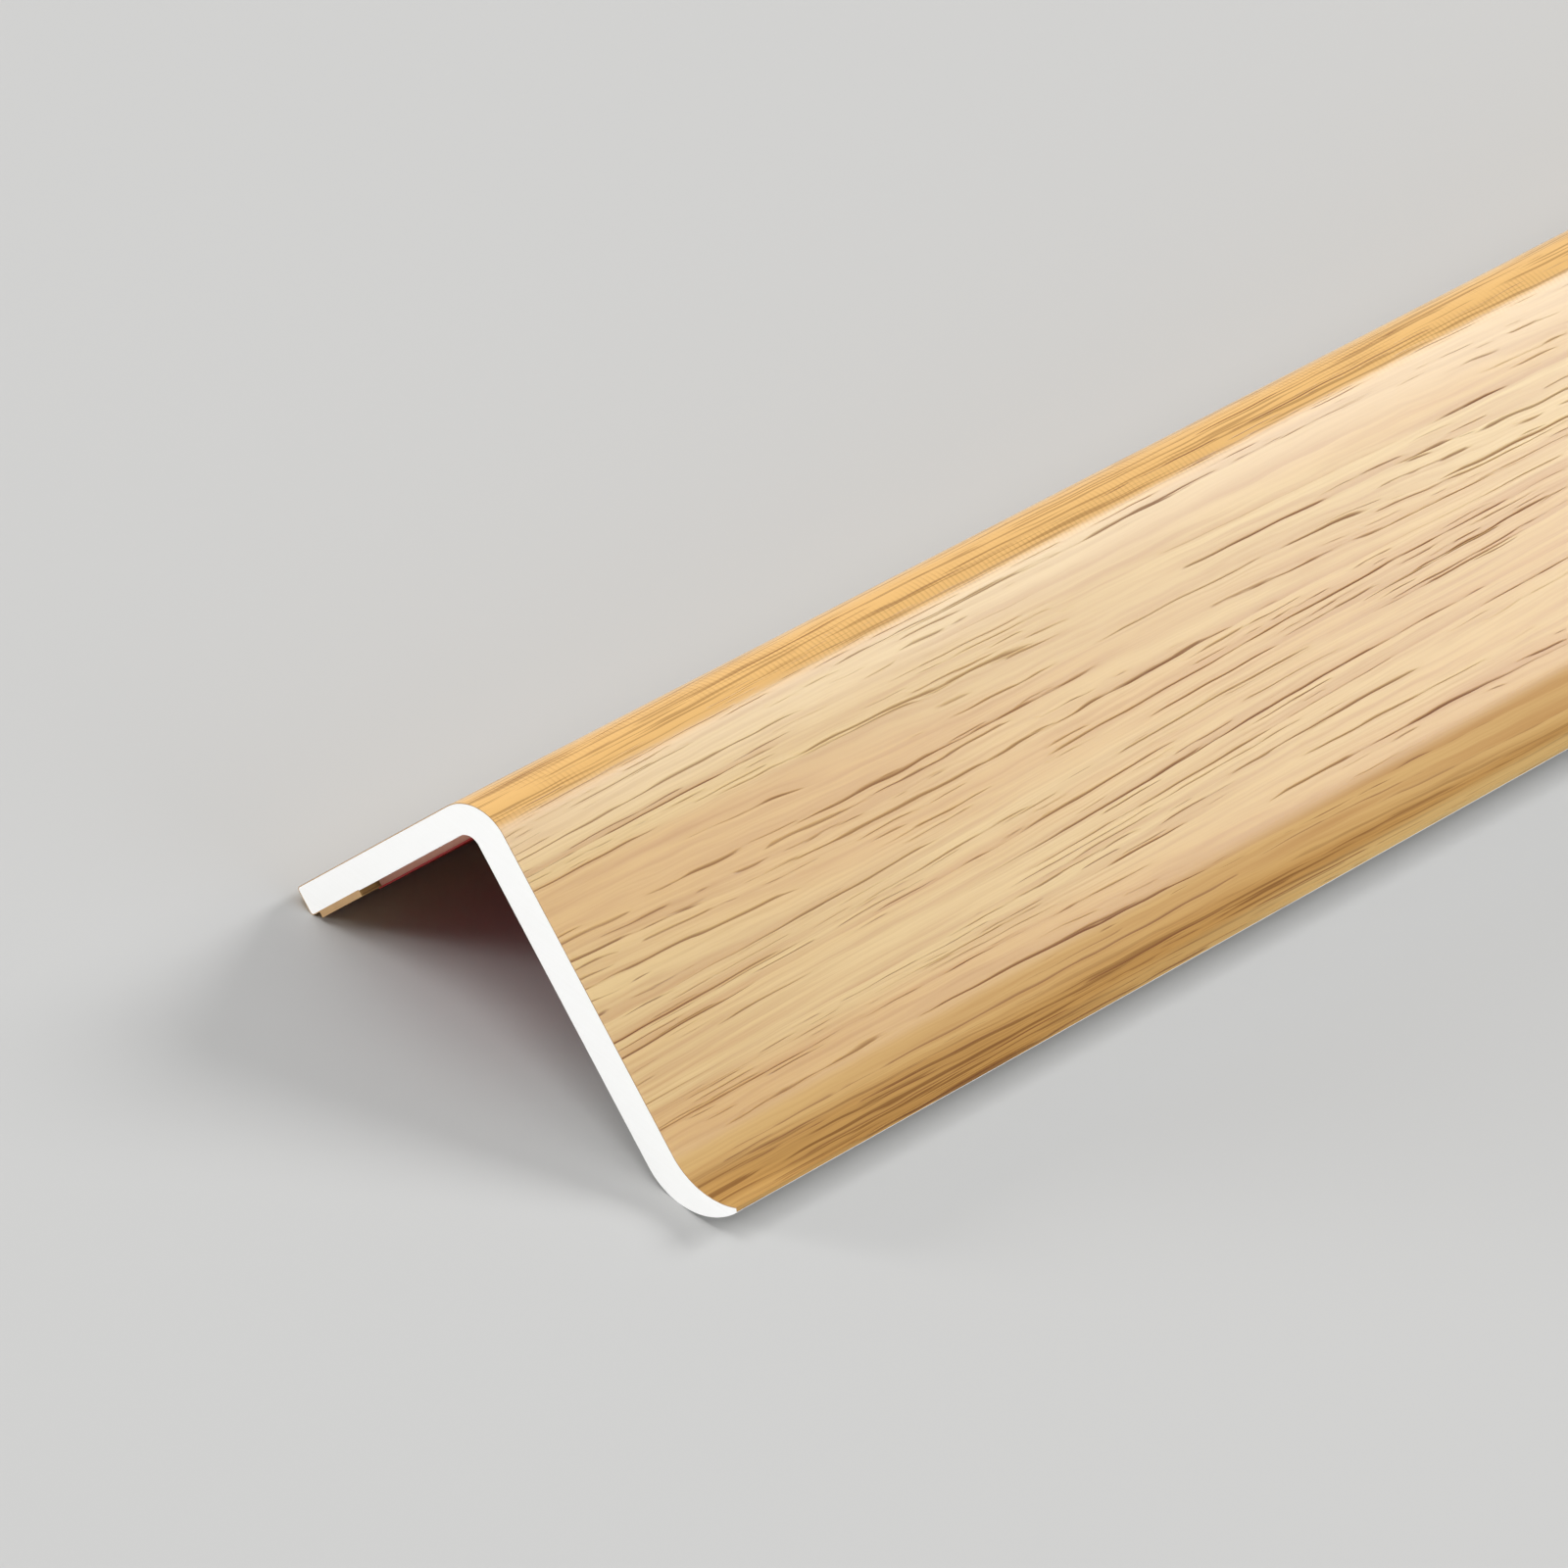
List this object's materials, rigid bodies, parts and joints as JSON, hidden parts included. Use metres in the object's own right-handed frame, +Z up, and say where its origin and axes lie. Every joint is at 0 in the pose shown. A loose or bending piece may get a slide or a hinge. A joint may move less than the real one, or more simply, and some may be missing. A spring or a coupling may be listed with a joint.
{
  "type": "corner guard moulding",
  "caption": "Straight L-shaped PVC corner guard moulding with a rounded outer corner, a lip curled outwards along its longer leg, a printed wood-grain film, and mounting tape inside.",
  "frame": {"origin": "middle of the stock length, on the floor that the moulding stands on, halfway across its width", "axes": "+Y along the length, +X across towards the leg with the curled lip, +Z up from the floor to the outer corner"},
  "size_m": [0.037, 1, 0.0155],
  "materials": {
    "wood_grain_pvc": "satin pale oak wood-grain film laminated over the outside of an extruded rigid PVC section, white where it is sawn",
    "lined_tape": "glossy red plastic release liner over pale double-sided foam tape"
  },
  "bodies": {
    "root": {"corner_guard": "wood_grain_pvc", "tape_short_leg": "lined_tape", "tape_long_leg": "lined_tape"}
  },
  "joints": []
}
